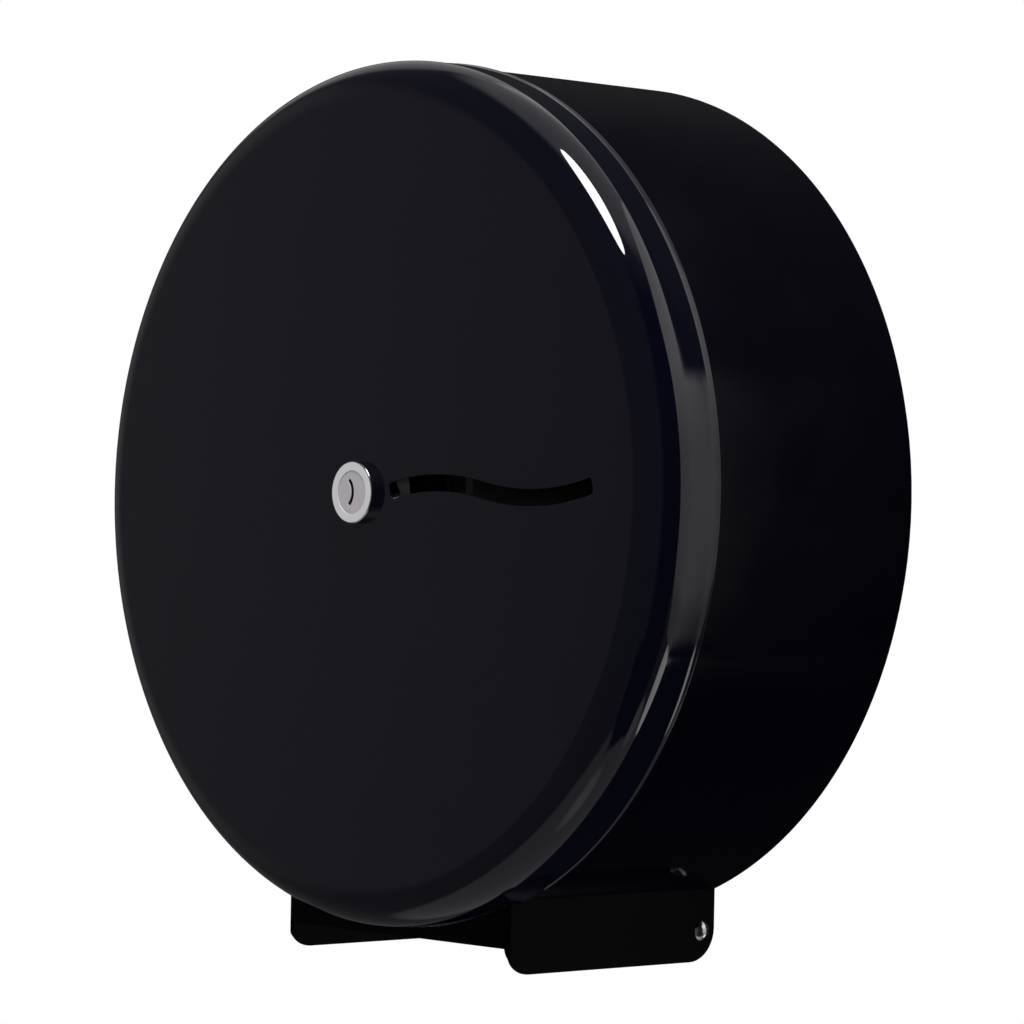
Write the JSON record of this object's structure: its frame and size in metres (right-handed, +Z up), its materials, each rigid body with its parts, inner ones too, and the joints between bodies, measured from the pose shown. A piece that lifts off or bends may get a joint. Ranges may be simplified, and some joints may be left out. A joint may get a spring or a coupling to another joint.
{
  "type": "jumbo toilet roll dispenser",
  "caption": "Wall-mounted round jumbo toilet roll dispenser: a black drum-shaped steel cover with a key lock and a wavy viewing slot hinges down over a back plate with a roll hub.",
  "frame": {"origin": "centre of the wall face of the back plate, on the axis of the drum and of the roll hub", "axes": "+Z up, +Y into the wall, +X to the viewer's right; the front cap faces -Y and the wall is the plane y = 0"},
  "size_m": [0.28, 0.119, 0.2914],
  "materials": {
    "black_powder_coat": "satin black powder coat",
    "black_satin_paint": "satin black stoved paint",
    "black_gloss_paint": "semi-gloss black stoved paint with a faint violet tint",
    "chrome": "polished chrome plate",
    "satin_chrome": "satin chrome plate",
    "stainless_rivet": "bright headed rivet steel",
    "stainless_sheet": "brushed stainless sheet",
    "zinc_plated_steel": "bright zinc plate",
    "spring_steel": "oiled dark spring steel",
    "grey_plastic": "moulded grey plastic",
    "natural_nylon": "natural nylon",
    "brass": "stamped brass"
  },
  "bodies": {
    "base": {"back_plate": "black_powder_coat", "hinge_bracket": "black_powder_coat", "bracket_rivets": "zinc_plated_steel", "hinge_rivets": "stainless_rivet", "hinge_washers": "natural_nylon", "spindle_post": "zinc_plated_steel", "spindle_rivets": "zinc_plated_steel", "rear_washer": "zinc_plated_steel", "front_washer": "zinc_plated_steel", "spindle_circlip": "spring_steel", "latch_strike": "zinc_plated_steel", "strike_screw": "zinc_plated_steel"},
    "cover": {"front_cap": "black_gloss_paint", "drum_band": "black_satin_paint", "outlet_bracket": "black_satin_paint", "tear_bar": "stainless_sheet", "lock_housing": "chrome", "lock_washer": "zinc_plated_steel", "lock_nut": "zinc_plated_steel"},
    "lock": {"lock_plug": "satin_chrome", "lock_wafers": "brass", "lock_cam": "zinc_plated_steel", "cam_screw": "zinc_plated_steel"},
    "hub": {"core_hub": "grey_plastic"}
  },
  "joints": [
    {"name": "cover_hinge", "type": "hinge", "parent": "base", "child": "cover", "pos_m": [0, -0.0117, -0.1414], "axis": [1, 0, 0], "range_deg": [0, 90]},
    {"name": "lock_turn", "type": "hinge", "parent": "cover", "child": "lock", "pos_m": [0, -0.1, 0], "axis": [0, 1, 0], "range_deg": [0, 90]},
    {"name": "hub_spin", "type": "hinge", "parent": "base", "child": "hub", "pos_m": [0, -0.05, 0], "axis": [0, 1, 0], "continuous": true}
  ]
}
